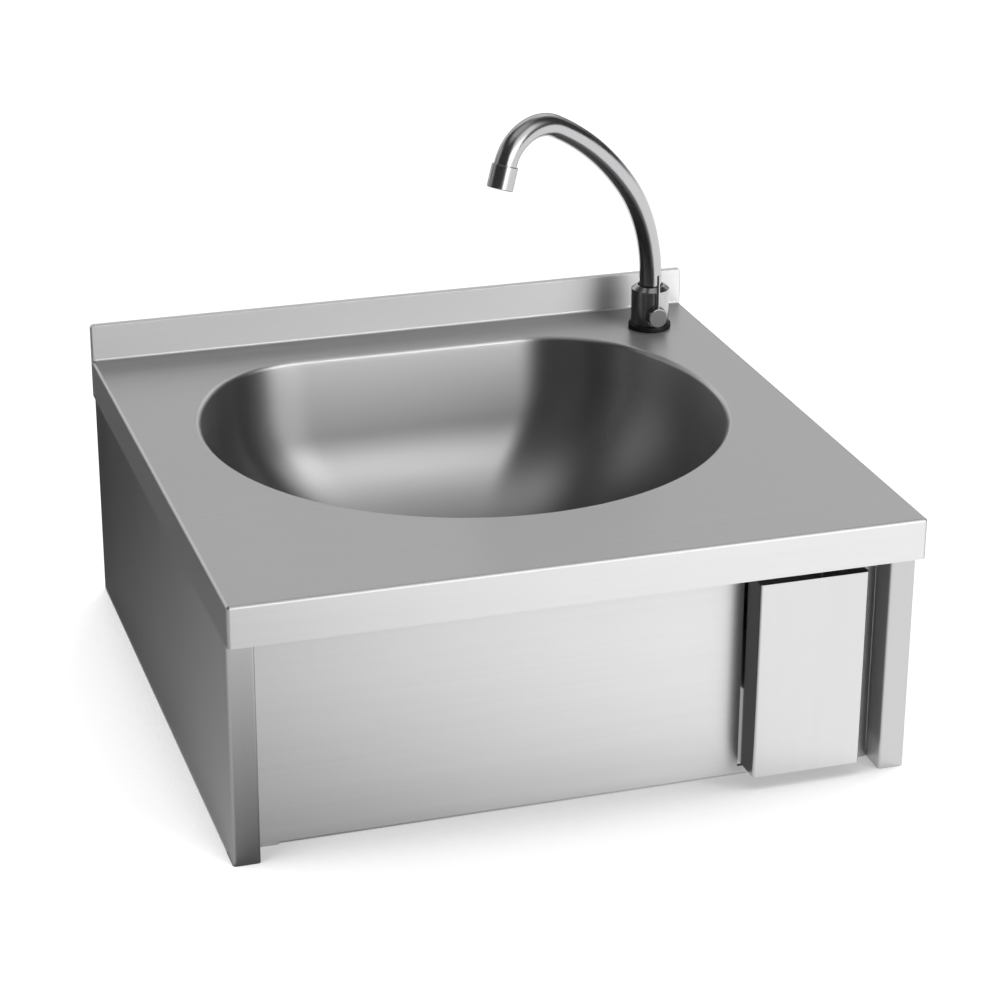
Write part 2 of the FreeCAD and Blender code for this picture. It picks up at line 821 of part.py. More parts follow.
def make_valve_seal():
    start = valve_point(seat_y + rest_gap)
    return ring(valve_seal_r, plunger_stem_r, start, start + Y_AXIS * valve_seal)


def make_valve_spring():
    """A coil between the plunger's collar and the seat wall."""
    start_y = collar_y + plunger_collar + spring_wire_r + running_gap
    end_y = seat_wall_y - spring_wire_r - running_gap
    length = end_y - start_y
    helix = Part.makeHelix(length / spring_turns, length, spring_coil_r)
    circle = Part.Wire(Part.makeCircle(spring_wire_r, V(spring_coil_r, 0, 0), Y_AXIS))
    coil = Part.Wire(helix).makePipeShell([circle], True, True)
    coil.rotate(V(0, 0, 0), X_AXIS, -90)
    coil.translate(valve_point(start_y))
    return coil


def make_valve_locknut():
    end_y = bracket_back_y - bracket_sheet
    start = valve_point(end_y - valve_nut_height)
    end = valve_point(end_y)
    return hex_bar(valve_nut_af, start, end).cut(rod(valve_nose_r, start, end))


def make_valve_cap():
    start_y = valve_rear_y - valve_cap_thread
    thread = rod(valve_rear_chamber_r, valve_point(start_y), valve_point(valve_rear_y))
    head = hex_bar(valve_cap_af, valve_point(valve_rear_y), valve_point(valve_rear_y + valve_cap_head))
    return fuse([thread, head])


def inlet_point(side, z):
    return V(knee_x + side * inlet_spacing / 2, inlet_y, z)


def make_inlet_manifold():
    """Hot and cold join here; a socket on top takes the valve's inlet boss."""
    socket_top = V(knee_x, inlet_y, inlet_z + manifold_socket_depth)
    socket_floor = V(knee_x, inlet_y, inlet_z)
    centre = V(knee_x, inlet_y, manifold_z)
    reach = V(inlet_spacing / 2 + manifold_bar_r, 0, 0)
    outer = [
        rod(manifold_socket_r, centre, socket_top),
        rod(manifold_bar_r, centre - reach, centre + reach),
    ]
    bores = [
        rod(valve_boss_r, socket_floor, socket_top),
        rod(manifold_bore_r, centre, socket_floor),
        rod(manifold_bore_r, inlet_point(-1, manifold_z), inlet_point(1, manifold_z)),
    ]
    for side in (-1, 1):
        outer.append(rod(inlet_collar_r, inlet_point(side, inlet_collar_z), inlet_point(side, manifold_z)))
        outer.append(rod(inlet_thread_r, inlet_point(side, inlet_end_z), inlet_point(side, inlet_collar_z)))
        bores.append(rod(manifold_bore_r, inlet_point(side, inlet_end_z), inlet_point(side, manifold_z)))
        bores.append(rod(inlet_bore_r, inlet_point(side, inlet_end_z),
                         inlet_point(side, inlet_end_z + check_valve_length)))
    return fuse(outer).cut(fuse(bores))


def make_check_valves():
    valves = []
    for side in (-1, 1):
        start = inlet_point(side, inlet_end_z)
        end = inlet_point(side, inlet_end_z + check_valve_length)
        valves.append(ring(inlet_bore_r, check_valve_port_r, start, end))
    return Part.makeCompound(valves)


def make_supply_pipe():
    """From the valve's outlet along the right side to the tail of the tap."""
    points = [
        V(outlet_x, outlet_y, push_z),
        V(outlet_x + pipe_first_run, outlet_y, push_z),
        V(tap_x, tap_y, push_z),
        V(tap_x, tap_y, tap_tail_z),
    ]
    pipe = swept_tube(rounded_edges(points, [pipe_bend_r, pipe_bend_r]), pipe_r, pipe_bore_r)
    collars = [
        ring(pipe_collar_r, pipe_bore_r, points[0], points[0] + X_AXIS * pipe_collar),
        ring(pipe_collar_r, pipe_bore_r, points[-1] - Z_AXIS * pipe_collar, points[-1]),
    ]
    return fuse([pipe] + collars)


def make_pipe_nuts():
    """Union nuts that draw the collars of the pipe against the valve and the tap."""
    nuts = []
    ends = (
        (V(outlet_x, outlet_y, push_z), X_AXIS, valve_boss_r),
        (V(tap_x, tap_y, tap_tail_z), Z_AXIS * -1, tap_tail_r),
    )
    for joint, along, thread_r in ends:
        start = joint - along * pipe_nut_grip
        lip = joint + along * pipe_collar
        end = lip + along * pipe_nut_lip
        nut = hex_bar(pipe_nut_af, start, end).cut(rod(thread_r, start, lip))
        nuts.append(nut.cut(rod(pipe_r, lip, end)))
    return Part.makeCompound(nuts)


def make_tap_gasket():
    gasket = rod(tap_gasket_r, tap_point(deck_z), tap_point(tap_body_z))
    gasket = gasket.makeFillet(tap_gasket_round, edges_where(gasket, lambda b: at(b.ZLength, 0)))
    return gasket.cut(rod(tap_tail_r, tap_point(deck_z - overrun), tap_point(tap_body_z + overrun)))


def lever_point(reach):
    """A point on the lever's axis, reach in front of the tap's axis."""
    return V(tap_x, tap_y - reach, lever_z)


def make_tap_body():
    """Turned body with a sloping shoulder, a threaded tail and a boss for the lever in front."""
    body_top = tap_body_z + tap_body_height
    shell = turned([
        (0, tap_tail_z),
        (tap_tail_r, tap_tail_z),
        (tap_tail_r, tap_body_z),
        (tap_body_r, tap_body_z),
        (tap_body_r, body_top),
        (tap_shoulder_r, tap_top_z),
        (0, tap_top_z),
    ], tap_point(0), Z_AXIS)
    boss = rod(lever_boss_r, lever_point(0), lever_point(lever_boss_reach))
    water = rod(tap_bore_r, tap_point(tap_tail_z), tap_point(bush_z))
    bush = rod(spout_bush_r, tap_point(bush_z), tap_point(tap_top_z))
    cross = rod(cartridge_r, lever_point(cartridge_back), lever_point(lever_boss_reach))
    return fuse([shell, boss]).cut(water).cut(bush).cut(cross)


def make_tap_washer():
    return ring(tap_washer_r, tap_tail_r, tap_point(deck_under_z - tap_washer), tap_point(deck_under_z))


def make_tap_backnut():
    start = tap_point(deck_under_z - tap_washer - tap_nut_height)
    end = tap_point(deck_under_z - tap_washer)
    return hex_bar(tap_nut_af, start, end).cut(rod(tap_tail_r, start, end))


spindle_end = lever_boss_reach + rest_gap + spindle_front


def make_lever_cartridge():
    bore_r = spindle_r + running_gap
    return ring(cartridge_r, bore_r, lever_point(cartridge_back), lever_point(lever_boss_reach))


def make_lever_spindle():
    return rod(spindle_r, lever_point(cartridge_back), lever_point(spindle_end))


def make_lever_knob():
    start = lever_boss_reach + rest_gap
    end = start + knob_length
    knob = rod(knob_r, lever_point(start), lever_point(end))
    knob = knob.makeFillet(knob_round, edges_where(knob, lambda b: at(b.YLength, 0)))
    knob = knob.cut(rod(spindle_r, lever_point(start - overrun), lever_point(spindle_end)))
    return knob.cut(lever_pin_rod())


def lever_pin_rod():
    centre = lever_point(lever_boss_reach + rest_gap + lever_pin_back)
    return rod(lever_pin_r, centre + Z_AXIS * (knob_r - lever_pin_sink), centre + Z_AXIS * lever_pin_reach)


def make_lever_pin():
    pin = lever_pin_rod()
    top = edges_where(pin, lambda b: at(b.ZMin, lever_z + lever_pin_reach))
    return pin.makeFillet(lever_pin_round, top)


def spout_point(out, z):
    """A point in the spout's upright plane, out from the tap's axis."""
    return V(tap_x - out * math.cos(spout_turn), tap_y - out * math.sin(spout_turn), z)


def spout_course():
    """The edges of the spout's centre line, its end point and its direction there."""
    edges = []
    place = [0.0, deck_z + spout_seat]
    slope = [math.pi / 2]

    def straight(length):
        start = spout_point(*place)
        place[0] += length * math.cos(slope[0])
        place[1] += length * math.sin(slope[0])
        edges.append(Part.makeLine(start, spout_point(*place)))

    def bend(radius, angle):
        centre = (place[0] + radius * math.sin(slope[0]), place[1] - radius * math.cos(slope[0]))

        def at(s):
            return (centre[0] - radius * math.sin(s), centre[1] + radius * math.cos(s))

        start, middle, end = (at(slope[0] - angle * share) for share in (0, 0.5, 1))
        edges.append(Part.Arc(spout_point(*start), spout_point(*middle), spout_point(*end)).toShape())
        place[:] = end
        slope[0] -= angle

    straight(spout_rise_start - spout_seat)
    bend(spout_rise_r, spout_rise_angle)
    bend(spout_slope_r, spout_slope_angle)
    bend(spout_crown_r, spout_crown_angle)
    bend(spout_drop_r, spout_drop_angle)
    straight(spout_end_run)
    end = spout_point(*place)
    return edges, end, end - spout_point(place[0] - math.cos(slope[0]), place[1] - math.sin(slope[0]))


spout_edges, spout_end, spout_along = spout_course()


def make_spout_tube():
    tube = swept_tube(spout_edges, spout_r, spout_r - spout_wall)
    groove_z = deck_z + spout_seat + spout_groove_up
    groove = ring(spout_r + overrun, spout_r - spout_groove, tap_point(groove_z),
                  tap_point(groove_z + spout_groove_height))
    return tube.cut(groove)


def make_spout_bush():
    """A bearing bush whose inner rib runs in the groove of the spout."""
    rib_z = deck_z + spout_seat + spout_groove_up + running_gap
    bush = ring(spout_bush_r, spout_r + running_gap, tap_point(bush_z), tap_point(bush_z + spout_bush_length))
    rib = ring(spout_bush_r, spout_r - spout_groove + running_gap, tap_point(rib_z),
               tap_point(rib_z + spout_groove_height - 2 * running_gap))
    return fuse([bush, rib])


def make_spout_sleeve():
    """The end sleeve; its lip holds the aerator under the tube."""
    start = spout_end - spout_along * spout_end_run
    tip = start + spout_along * sleeve_length
    sleeve = rod(sleeve_r, start, tip)
    sleeve = sleeve.makeFillet(sleeve_round, [e for e in sleeve.Edges if e.Closed])
    sleeve = sleeve.cut(rod(spout_r, start - spout_along * overrun, tip - spout_along * sleeve_lip))
    return sleeve.cut(rod(sleeve_lip_r, start, tip + spout_along * overrun))


def make_aerator():
    tip = spout_end + spout_along * (sleeve_length - spout_end_run - sleeve_lip)
    insert = rod(spout_r, spout_end, tip)
    side = V(math.sin(spout_turn), -math.cos(spout_turn), 0)
    holes = [rod(aerator_hole_r, spout_end, tip)]
    for ring_r, count in zip(aerator_ring_r, aerator_ring_count):
        hole = rod(aerator_hole_r, spout_end + side * ring_r, tip + side * ring_r)
        for i in range(count):
            turned_hole = hole.copy()
            turned_hole.rotate(spout_end, spout_along, 360.0 * i / count)
            holes.append(turned_hole)
    return insert.cut(Part.makeCompound(holes))


def waste_point(z):
    return V(0, bowl_y, z)


waste_flange_z = waste_floor_z + waste_seal
waste_under_z = waste_floor_z - sheet
waste_body_z = waste_under_z - waste_seal_under
waste_bridge_z = waste_body_z - waste_body_flange - waste_bridge_drop


def make_waste_flange():
    """Strainer plate in the dish of the bowl."""
    top = waste_flange_z + waste_flange
    plate = rod(waste_flange_r, waste_point(waste_flange_z), waste_point(top))
    plate = plate.makeFillet(waste_flange_round, edges_where(plate, lambda b: at(b.ZMin, top)))
    holes = [rod(waste_screw_r, waste_point(waste_flange_z), waste_point(top))]
    for ring_r, count in zip(strainer_ring_r, strainer_ring_count):
        for i in range(count):
            angle = 2 * math.pi * i / count
            side = V(ring_r * math.cos(angle), ring_r * math.sin(angle), 0)
            holes.append(rod(strainer_hole_r, waste_point(waste_flange_z) + side, waste_point(top) + side))
    return plate.cut(Part.makeCompound(holes))


def make_waste_screw():
    top = waste_flange_z + waste_flange
    head = rod(waste_head_r, waste_point(top), waste_point(top + waste_head))
    head = head.makeFillet(waste_head_round, edges_where(head, lambda b: at(b.ZMin, top + waste_head)))
    shank = rod(waste_screw_r, waste_point(waste_bridge_z - waste_bridge_thickness), waste_point(top))
    return fuse([shank, head])


def make_waste_seal_top():
    return ring(waste_flange_r, waste_seal_inner_r, waste_point(waste_floor_z), waste_point(waste_flange_z))


def make_waste_seal_bottom():
    return ring(waste_body_flange_r, waste_seal_inner_r,
                waste_point(waste_body_z), waste_point(waste_under_z))


def make_waste_body():
    """Flange, tail and a bridge across the tail that takes the screw."""
    flange_z = waste_body_z - waste_body_flange
    tail_z = flange_z - waste_tail
    bore_r = waste_tail_r - waste_tail_wall
    body = fuse([
        rod(waste_body_flange_r, waste_point(flange_z), waste_point(waste_body_z)),
        rod(waste_tail_r, waste_point(tail_z), waste_point(flange_z)),
    ]).cut(rod(bore_r, waste_point(tail_z), waste_point(waste_body_z)))
    bridge = box(-waste_tail_r + waste_tail_wall / 2, waste_tail_r - waste_tail_wall / 2,
                 bowl_y - waste_bridge / 2, bowl_y + waste_bridge / 2,
                 waste_bridge_z - waste_bridge_thickness, waste_bridge_z)
    bridge = bridge.cut(rod(waste_screw_r, waste_point(waste_bridge_z - waste_bridge_thickness - overrun),
                            waste_point(waste_bridge_z + overrun)))
    return fuse([body, bridge])


def make_right_side_panel():
    return mirrored(make_left_side_panel())


MAKERS = [
    make_basin_top,
    make_bowl,
    make_left_side_panel,
    make_right_side_panel,
    make_front_panel,
    make_fascia_studs,
    make_fascia_nuts,
    make_knee_plate,
    make_knee_crossbar,
    make_push_screw,
    make_push_locknut,
    make_hinge_bracket,
    make_hinge_pin,
    make_hinge_bushes,
    make_hinge_clips,
    make_valve_body,
    make_valve_gland,
    make_valve_plunger,
    make_valve_seal,
    make_valve_spring,
    make_valve_locknut,
    make_valve_cap,
    make_inlet_manifold,
    make_check_valves,
    make_supply_pipe,
    make_pipe_nuts,
    make_tap_gasket,
    make_tap_body,
    make_tap_washer,
    make_tap_backnut,
    make_lever_cartridge,
    make_lever_spindle,
    make_lever_knob,
    make_lever_pin,
    make_spout_tube,
    make_spout_bush,
    make_spout_sleeve,
    make_aerator,
    make_waste_flange,
    make_waste_screw,
    make_waste_seal_top,
    make_waste_seal_bottom,
    make_waste_body,
]

os.makedirs("parts", exist_ok=True)
for maker in MAKERS:
    node = maker.__name__[len("make_"):]
    shape = maker()
    shape.exportStep("parts/" + node + ".step")
    print(node, "solids:", len(shape.Solids), "valid:", shape.isValid(), "mm3: %.0f" % shape.Volume)
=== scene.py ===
"""Looks, stage and camera for the knee-operated hand basin.

Metres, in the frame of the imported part: X to the right, Y toward the wall, Z up.
"""
import json
import math

import bmesh
import bpy
from mathutils import Matrix, Vector


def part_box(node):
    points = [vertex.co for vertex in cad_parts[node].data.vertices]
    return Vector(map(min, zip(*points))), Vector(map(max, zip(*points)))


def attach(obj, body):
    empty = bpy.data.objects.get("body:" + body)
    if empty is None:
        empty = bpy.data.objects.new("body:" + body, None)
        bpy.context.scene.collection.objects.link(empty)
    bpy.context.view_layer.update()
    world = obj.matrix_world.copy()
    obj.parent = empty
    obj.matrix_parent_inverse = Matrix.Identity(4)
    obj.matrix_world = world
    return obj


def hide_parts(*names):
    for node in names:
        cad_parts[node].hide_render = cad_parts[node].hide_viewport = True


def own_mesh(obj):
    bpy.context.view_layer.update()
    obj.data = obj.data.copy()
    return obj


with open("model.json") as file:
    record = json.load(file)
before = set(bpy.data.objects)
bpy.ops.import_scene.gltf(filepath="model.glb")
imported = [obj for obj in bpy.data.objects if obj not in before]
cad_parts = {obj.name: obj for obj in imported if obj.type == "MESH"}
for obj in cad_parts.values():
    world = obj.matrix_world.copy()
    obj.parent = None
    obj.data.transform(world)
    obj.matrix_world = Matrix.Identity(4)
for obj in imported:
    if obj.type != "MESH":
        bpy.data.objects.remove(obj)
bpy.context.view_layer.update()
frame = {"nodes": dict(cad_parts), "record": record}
cad_nodes = frame["nodes"]

MM = 0.001

# Sizes shared with the solids, in metres
half_width = 250 * MM
front_y = -490 * MM
deck_z = 95 * MM
floor_z = -105 * MM
sheet = 1.2 * MM
bend_r = 2.4 * MM
flat_x = half_width - bend_r
flat_front_y = front_y + bend_r
apron_height = 30.5 * MM
apron_hem = 10 * MM
splash_height = 30 * MM
splash_depth = 5 * MM
splash_foot_r = 2 * MM
splash_bend_r = 1.2 * MM
splash_corner_r = 3 * MM
bowl_r = 203 * MM
bowl_back_y = -48 * MM
bowl_y = -200 * MM
bowl_corner_r = 100 * MM
bowl_rim_r = 3.5 * MM
bowl_draft = math.radians(4)
bowl_depth = 135 * MM
dish_r = 39 * MM
dish_foot_r = 36 * MM
dish_depth = 3.5 * MM
waste_hole_r = 24 * MM

# Sizes of the bowl's rounder foot and of the spring
bowl_floor_inset = 116 * MM
bowl_back_inset = 80 * MM
bowl_floor_corner_r = 60 * MM
spring_coil_r = 5.6 * MM
spring_wire_r = 0.65 * MM
spring_turns = 7

# Fineness of the meshes
BEND_STEPS = 8
SPLASH_FOOT_STEPS = 6
SPLASH_EDGE_STEPS = 5
BOWL_FRONT_STEPS = 220
BOWL_CORNER_STEPS = 40
BOWL_BACK_STEPS = 30
RIM_STEPS = 10
WALL_STEPS = 8
FOOT_STEPS = 40
COIL_STEPS = 24
WIRE_STEPS = 10
FLOOR_RINGS = (0.35, 0.7)
SHARP_ANGLE = math.radians(35)
WELD_GAP = 0.001 * MM


# Node trees

def grey(level):
    return (level, level, level, 1.0)


def even(cells):
    """The same number of noise cells to the metre along each axis."""
    return (cells, cells, cells)


class Nodes:
    """A node tree under construction."""

    def __init__(self, tree):
        self.tree = tree
        tree.nodes.clear()

    def add(self, kind, inputs=None, **settings):
        """A new node with these settings; each input is set to a value or linked to a socket."""
        node = self.tree.nodes.new("ShaderNode" + kind)
        for key, value in settings.items():
            setattr(node, key, value)
        for key, value in (inputs or {}).items():
            if isinstance(value, bpy.types.NodeSocket):
                self.tree.links.new(value, node.inputs[key])
            else:
                node.inputs[key].default_value = value
        return node

    def maths(self, operation, *values, clamp=False):
        node = self.add("Math", dict(enumerate(values)), operation=operation, use_clamp=clamp)
        return node.outputs["Value"]

    def vector_maths(self, operation, first, second):
        return self.add("VectorMath", {0: first, 1: second}, operation=operation).outputs


class Material(Nodes):
    """A material under construction. Nearly all of a noise lies between NOISE_LOW and NOISE_HIGH."""

    NOISE_LOW = 0.3
    NOISE_HIGH = 0.7

    def __init__(self, name):
        self.material = bpy.data.materials.new(name)
        self.material.use_nodes = True
        super().__init__(self.material.node_tree)

    def noise(self, place, cells, detail):
        """Noise with this many cells to the unit along each axis of place."""
        mapped = self.add("Mapping", {"Vector": place, "Scale": cells}).outputs["Vector"]
        return self.add("TexNoise", {"Vector": mapped, "Scale": 1.0, "Detail": detail}).outputs["Fac"]

    def part_noise(self, cells, detail):
        """Noise over the part's own coordinates."""
        return self.noise(self.add("TexCoord").outputs["Object"], cells, detail)

    def ranged(self, noise, low, high):
        """The noise, spread from low to high."""
        return self.add("MapRange", {
            "Value": noise,
            "From Min": self.NOISE_LOW,
            "From Max": self.NOISE_HIGH,
            "To Min": low,
            "To Max": high,
        }).outputs["Result"]

    def blend(self, share, first, second):
        """A colour between two others; a Mix node takes colours at sockets 6 and 7 and gives one at 2."""
        return self.add("Mix", {"Factor": share, 6: first, 7: second}, data_type="RGBA").outputs[2]

    def bump(self, strength, depth, height):
        node = self.add("Bump", {"Strength": strength, "Distance": depth, "Height": height})
        return node.outputs["Normal"]

    def mixed(self, share, first, second):
        return self.add("MixShader", {0: share, 1: first, 2: second}).outputs["Shader"]

    def glow(self, level, strength):
        return self.add("Emission", {"Color": grey(level), "Strength": strength}).outputs["Emission"]

    def finish(self, surface):
        self.add("OutputMaterial", {"Surface": surface})
        return self.material


# Materials: cells are those of a noise to the metre, or round the bowl and down its wall

UPRIGHT = (0.0, 0.05, 1.0)
ALONG_X = (0.02, 1.0, 1.0)
ALONG_Z = (1.0, 1.0, 0.02)
FINE_CELLS = 900.0
STREAK_CELLS = 220.0
CLOUD_CELLS = 7.0
BOWL_FINE_CELLS = (6.0, 900.0, 1.0)
BOWL_STREAK_CELLS = (3.0, 160.0, 1.0)
WIPE_CELLS = 60.0
RIPPLE_CELLS = 130.0
MOTTLE_CELLS = 180.0
GRAIN_STRENGTH = 0.05
GRAIN_DEPTH = 0.03 * MM
RIPPLE_STRENGTH = 0.05
RIPPLE_DEPTH = 0.2 * MM
PORE_STRENGTH = 0.25
PORE_DEPTH = 0.1 * MM
STREAK_DARK = 0.985
STREAK_LIGHT = 1.01
GLOSS_SPREAD = 0.012


def brushed_steel(name, level, roughness, anisotropy, along, sideways=0.0):
    """Steel with a fine grain.

    along is the direction of the brushing as a factor for each axis: small along it, 1 across it.
    The grain spreads a reflection up and down, or to both sides if sideways is large.
    """
    m = Material(name)
    fine = m.part_noise([FINE_CELLS * a for a in along], detail=3.0)
    streaks = m.part_noise([STREAK_CELLS * a for a in along], detail=2.0)
    clouds = m.part_noise(even(CLOUD_CELLS), detail=3.0)
    streaked = m.ranged(streaks, roughness - GLOSS_SPREAD, roughness + GLOSS_SPREAD)
    clouded = m.ranged(clouds, -GLOSS_SPREAD, GLOSS_SPREAD)
    dark, light = grey(level * STREAK_DARK), grey(level * STREAK_LIGHT)
    facing = m.add("NewGeometry").outputs["Normal"]
    level_way = m.vector_maths("CROSS_PRODUCT", facing, (0.0, 0.0, sideways))["Vector"]
    shader = m.add("BsdfPrincipled", {
        "Base Color": m.blend(m.ranged(streaks, 0.0, 1.0), dark, light),
        "Metallic": 1.0,
        "Roughness": m.maths("ADD", streaked, clouded),
        "Anisotropic": anisotropy,
        "Tangent": m.vector_maths("ADD", level_way, UPRIGHT)["Vector"],
        "Normal": m.bump(GRAIN_STRENGTH, GRAIN_DEPTH, fine),
    })
    return m.finish(shader.outputs["BSDF"])


def bowl_steel():
    """Satin steel whose grain runs round the bowl."""
    m = Material("bowl_steel")
    round_bowl = m.add("UVMap").outputs["UV"]
    fine = m.noise(round_bowl, BOWL_FINE_CELLS, detail=3.0)
    streaks = m.noise(round_bowl, BOWL_STREAK_CELLS, detail=2.0)
    shader = m.add("BsdfPrincipled", {
        "Base Color": grey(0.8),
        "Metallic": 1.0,
        "Roughness": m.ranged(streaks, 0.35, 0.38),
        "Anisotropic": 0.88,
        "Anisotropic Rotation": 0.25,
        "Tangent": m.add("Tangent", direction_type="UV_MAP").outputs["Tangent"],
        "Normal": m.bump(GRAIN_STRENGTH, GRAIN_DEPTH, fine),
    })
    return m.finish(shader.outputs["BSDF"])


def polished_metal(name, colour, low, high):
    """Bright metal with faint wipe marks, where its roughness runs from low to high."""
    m = Material(name)
    marks = m.part_noise(even(WIPE_CELLS), detail=4.0)
    ripples = m.part_noise(even(RIPPLE_CELLS), detail=1.0)
    shader = m.add("BsdfPrincipled", {
        "Base Color": (*colour, 1.0),
        "Metallic": 1.0,
        "Roughness": m.ranged(marks, low, high),
        "Normal": m.bump(RIPPLE_STRENGTH, RIPPLE_DEPTH, ripples),
    })
    return m.finish(shader.outputs["BSDF"])


def dull_solid(name, dark, light, low, high, pore_cells):
    """Rubber or plastic: a colour from dark to light, a roughness from low to high and fine pores."""
    m = Material(name)
    mottle = m.part_noise(even(MOTTLE_CELLS), detail=3.0)
    pores = m.part_noise(even(pore_cells), detail=2.0)
    shader = m.add("BsdfPrincipled", {
        "Base Color": m.blend(m.ranged(mottle, 0.0, 1.0), (*dark, 1.0), (*light, 1.0)),
        "Roughness": m.ranged(mottle, low, high),
        "Normal": m.bump(PORE_STRENGTH, PORE_DEPTH, pores),
    })
    return m.finish(shader.outputs["BSDF"])


sheet_steel = brushed_steel("sheet_steel", level=0.77, roughness=0.39, anisotropy=0.85, along=ALONG_X)
# painted light: the splashback is folded from the same sheet as the deck, but this copy of its steel is
# painted lighter (level 0.96 against 0.77); its roughness is set higher as well
splash_steel_painted_lighter = brushed_steel("splash_steel_painted_lighter", level=0.96, roughness=0.53, anisotropy=0.85, along=ALONG_X)
side_steel = brushed_steel("side_steel", level=0.77, roughness=0.39, anisotropy=0.85, along=ALONG_Z,
                           sideways=20.0)
knee_steel = brushed_steel("knee_steel", level=0.83, roughness=0.2, anisotropy=0.3, along=ALONG_Z)
plated_steel = polished_metal("plated_steel", (0.6, 0.61, 0.63), 0.25, 0.4)
tap_chrome = polished_metal("tap_chrome", (0.64, 0.64, 0.65), 0.18, 0.24)
brass = polished_metal("brass", (0.76, 0.56, 0.25), 0.22, 0.36)
copper = polished_metal("copper", (0.77, 0.43, 0.28), 0.24, 0.4)
waste_steel = polished_metal("waste_steel", (0.74, 0.74, 0.74), 0.12, 0.2)
black_rubber = dull_solid("black_rubber", (0.008, 0.008, 0.008), (0.02, 0.02, 0.02), 0.35, 0.6, 1800.0)
nylon = dull_solid("nylon", (0.74, 0.74, 0.72), (0.8, 0.8, 0.78), 0.4, 0.55, 1200.0)
waste_plastic = dull_solid("waste_plastic", (0.72, 0.72, 0.7), (0.78, 0.78, 0.76), 0.4, 0.55, 900.0)
bowl_finish = bowl_steel()

SLOT_MATERIALS = {
    "sheet_steel": sheet_steel,
    "bowl_steel": bowl_finish,
    "knee_steel": knee_steel,
    "plated_steel": plated_steel,
    "tap_chrome": tap_chrome,
    "brass": brass,
    "copper": copper,
    "black_rubber": black_rubber,
    "nylon": nylon,
    "waste_steel": waste_steel,
    "waste_plastic": waste_plastic,
}
SIDE_NODES = ("left_side_panel", "right_side_panel")

for subpart in frame["record"]["subparts"]:
    node = cad_nodes[subpart["node"]]
    finish = SLOT_MATERIALS[subpart["material_slot"]]
    if subpart["node"] in SIDE_NODES:
        finish = side_steel
    for slot in node.material_slots:
        slot.material = finish


# Mesh helpers

def new_piece(name, mesh, finish, body, slot, *nodes):
    """A visible piece on a body that stands for these nodes of the solids."""
    piece = bpy.data.objects.new(name, mesh)
    bpy.context.scene.collection.objects.link(piece)
    mesh.materials.append(finish)
    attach(piece, body)
    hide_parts(*nodes)
    return piece


def keep_flats(piece):
    """Let large flat faces set the shading where they meet a bend."""
    weigh = piece.modifiers.new("flats", "WEIGHTED_NORMAL")
    weigh.weight = 100
    weigh.keep_sharp = True


def arc(centre, radius, start, end, steps):
    """Points of an arc as 2D pairs; the angles are in radians."""
    points = []
    for i in range(steps + 1):
        angle = start + (end - start) * i / steps
        points.append((centre[0] + radius * math.cos(angle), centre[1] + radius * math.sin(angle)))
    return points


def to_mesh(bm, name):
    mesh = bpy.data.meshes.new(name)
    bm.to_mesh(mesh)
    bm.free()
    return mesh


def sheet_mesh(bm, name):
    """Give the faces the sheet's thickness on their inner side; bends stay smooth and edges crisp."""
    bmesh.ops.solidify(bm, geom=list(bm.faces), thickness=sheet)
    mesh = to_mesh(bm, name)
    mesh.set_sharp_from_angle(angle=SHARP_ANGLE)
    return mesh


def grid(bm, rows, closed, uv=None):
    """Quads between rows of points; each row closes on itself if closed is true."""
    lines = [[bm.verts.new(p) for p in row] for row in rows]
    count = len(rows[0])
    for j in range(len(rows) - 1):
        for i in range(count if closed else count - 1):
            k = (i + 1) % count
            corners = (lines[j][i], lines[j][k], lines[j + 1][k], lines[j + 1][i])
            face = bm.faces.new(corners)
            face.smooth = True
            if uv:
                spots = ((i, j), (i + 1, j), (i + 1, j + 1), (i, j + 1))
                for loop, (u, v) in zip(face.loops, spots):
                    loop[uv].uv = (u / count, v / (len(rows) - 1))
    return lines


def closed_grid(rows):
    """A solid skin: closed rows with a face over each end."""
    bm = bmesh.new()
    lines = grid(bm, rows, True)
    bm.faces.new(lines[0])
    bm.faces.new(lines[-1])
    bmesh.ops.recalc_face_normals(bm, faces=bm.faces)
    return bm


def turn_up(bm, face):
    """Make all faces agree, with this one looking up."""
    bmesh.ops.recalc_face_normals(bm, faces=bm.faces)
    if face.normal.z < 0:
        bmesh.ops.reverse_faces(bm, faces=bm.faces)


# Bowl: each level section is a large arc, two corner arcs and a straight back, rounder towards the floor

def bowl_outline(side_inset, back_inset):
    """Points round the bowl where the round wall and the back have moved inward by these insets."""
    big = bowl_r - side_inset
    flat = bowl_back_y - back_inset - bowl_y
    small = bowl_corner_r - (bowl_corner_r - bowl_floor_corner_r) * side_inset / bowl_floor_inset
    corner_x = math.sqrt((big - small) ** 2 - (flat - small) ** 2)
    corner_y = bowl_y + flat - small
    a = math.atan2(flat - small, corner_x)
    front = arc((0, bowl_y), big, math.pi - a, 2 * math.pi + a, BOWL_FRONT_STEPS)
    right = arc((corner_x, corner_y), small, a, math.pi / 2, BOWL_CORNER_STEPS)
    left = arc((-corner_x, corner_y), small, math.pi / 2, math.pi - a, BOWL_CORNER_STEPS)
    back = []
    for i in range(1, BOWL_BACK_STEPS):
        back.append((corner_x * (1 - 2 * i / BOWL_BACK_STEPS), bowl_y + flat))
    return front + right[1:] + back + left[:-1]


def foot_radius(floor_inset):
    """Radius of the foot bend that leads the wall into the floor at this inset."""
    bends_r = (floor_inset - bowl_depth * math.tan(bowl_draft)) / (
        math.cos(bowl_draft) - (1 - math.sin(bowl_draft)) * math.tan(bowl_draft))
    return bends_r - bowl_rim_r


